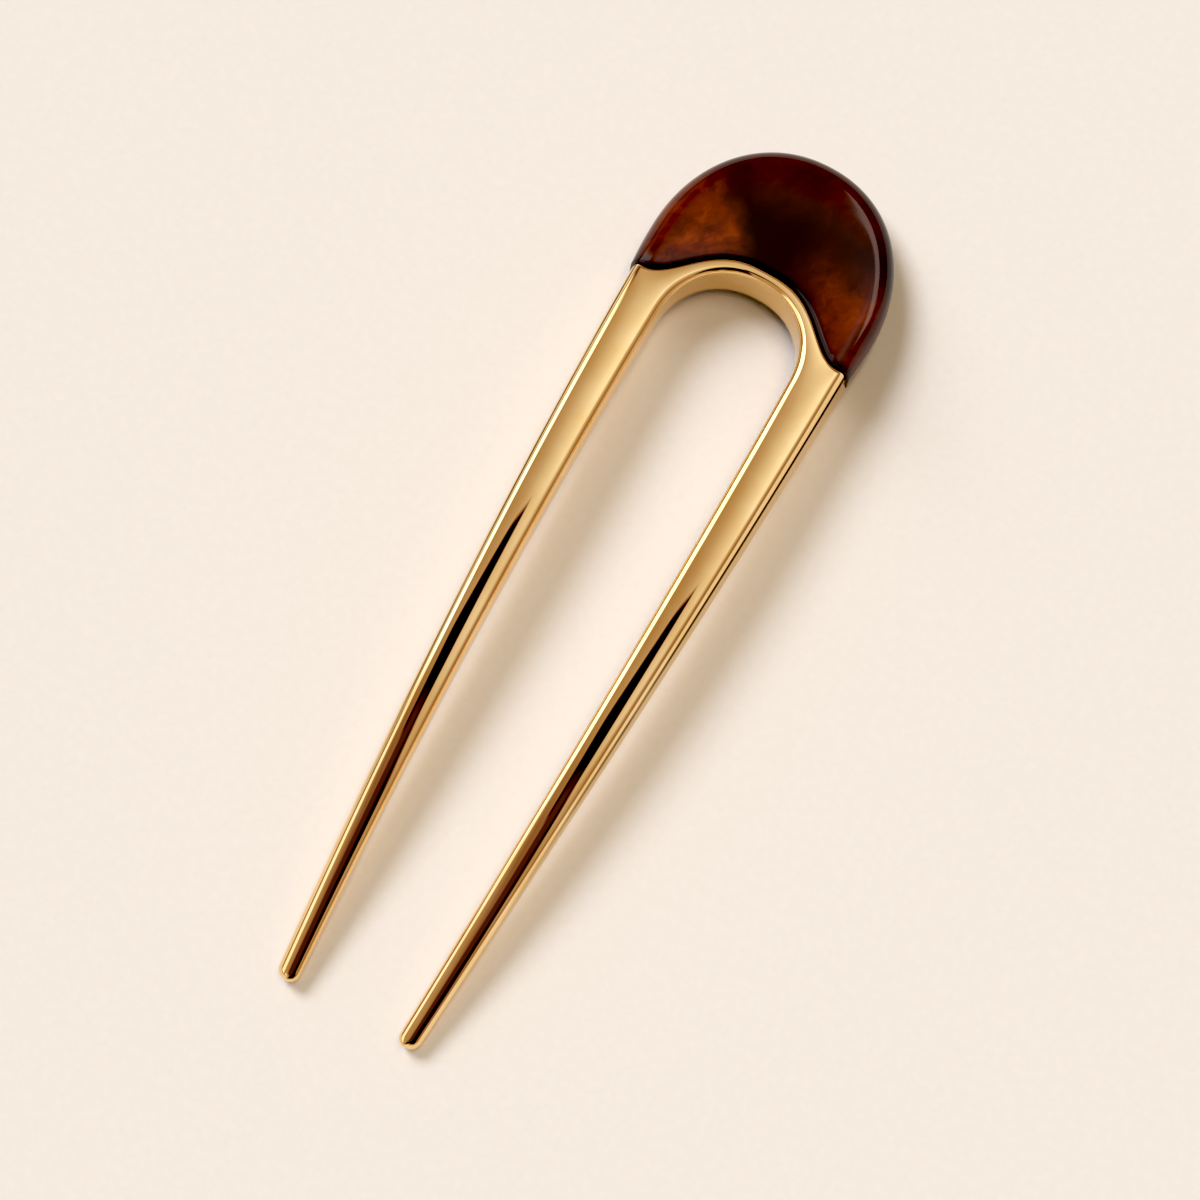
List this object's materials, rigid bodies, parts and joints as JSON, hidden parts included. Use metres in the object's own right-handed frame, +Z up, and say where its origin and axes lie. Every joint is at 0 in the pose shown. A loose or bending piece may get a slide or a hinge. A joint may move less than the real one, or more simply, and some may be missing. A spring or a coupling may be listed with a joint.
{
  "type": "french hair pin",
  "caption": "Bowed french hair pin that holds a bun or twist: a gilt metal fork with tapering blunt prongs under a crescent-shaped tortoiseshell-look crown.",
  "frame": {"origin": "middle of the flat surface that the pin rests on, under the middle of its length", "axes": "+X across the prongs, +Y from the prong tips to the crown, +Z up from the surface it lies on"},
  "size_m": [0.0322, 0.126, 0.0106],
  "materials": {
    "gilt_metal": "polished",
    "tortoiseshell_resin": "polished"
  },
  "bodies": {
    "root": {"fork": "gilt_metal", "crown": "tortoiseshell_resin"}
  },
  "joints": []
}
